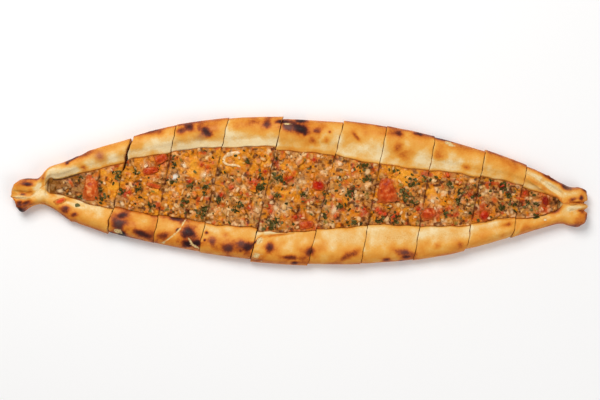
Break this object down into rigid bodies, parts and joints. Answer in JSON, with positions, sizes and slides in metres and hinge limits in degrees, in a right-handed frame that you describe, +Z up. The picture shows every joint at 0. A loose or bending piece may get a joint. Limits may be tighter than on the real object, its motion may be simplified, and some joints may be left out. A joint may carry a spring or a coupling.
{
  "type": "turkish pide",
  "caption": "Boat-shaped baked flatbread with folded browned edges, pinched ends and a minced meat, tomato and parsley filling, cut crosswise into pieces that lie together.",
  "frame": {"origin": "on the flat underside, near the middle of the bread's length and width, where it rests on the table", "axes": "+X along the bread towards the narrower, more pointed end of the filling pocket, +Y across the bread, +Z up from the underside through the filling"},
  "size_m": [0.5083, 0.1315, 0.0177],
  "materials": {
    "crust": "baked wheat dough, pale gold with browned outer edges and dark blisters, dull with a faint sheen",
    "filling": "cooked minced meat with diced vegetables, parsley and a little cheese, oily and lumpy",
    "tomato": "baked tomato, moist and softly shiny"
  },
  "bodies": {
    "root": {"crust_01": "crust", "crust_02": "crust", "crust_03": "crust", "crust_04": "crust", "crust_05": "crust", "crust_06": "crust", "crust_07": "crust", "crust_08": "crust", "crust_09": "crust", "crust_10": "crust", "filling_01": "filling", "filling_02": "filling", "filling_03": "filling", "filling_04": "filling", "filling_05": "filling", "filling_06": "filling", "filling_07": "filling", "filling_08": "filling", "filling_09": "filling", "filling_10": "filling", "tomato_slice_left": "tomato", "tomato_strip_left": "tomato", "tomato_chunk_upper": "tomato", "tomato_cube_middle": "tomato", "tomato_slice_lower": "tomato", "tomato_wedge_large": "tomato", "tomato_chunk_right": "tomato", "tomato_cube_right": "tomato", "tomato_strip_right": "tomato"}
  },
  "joints": []
}
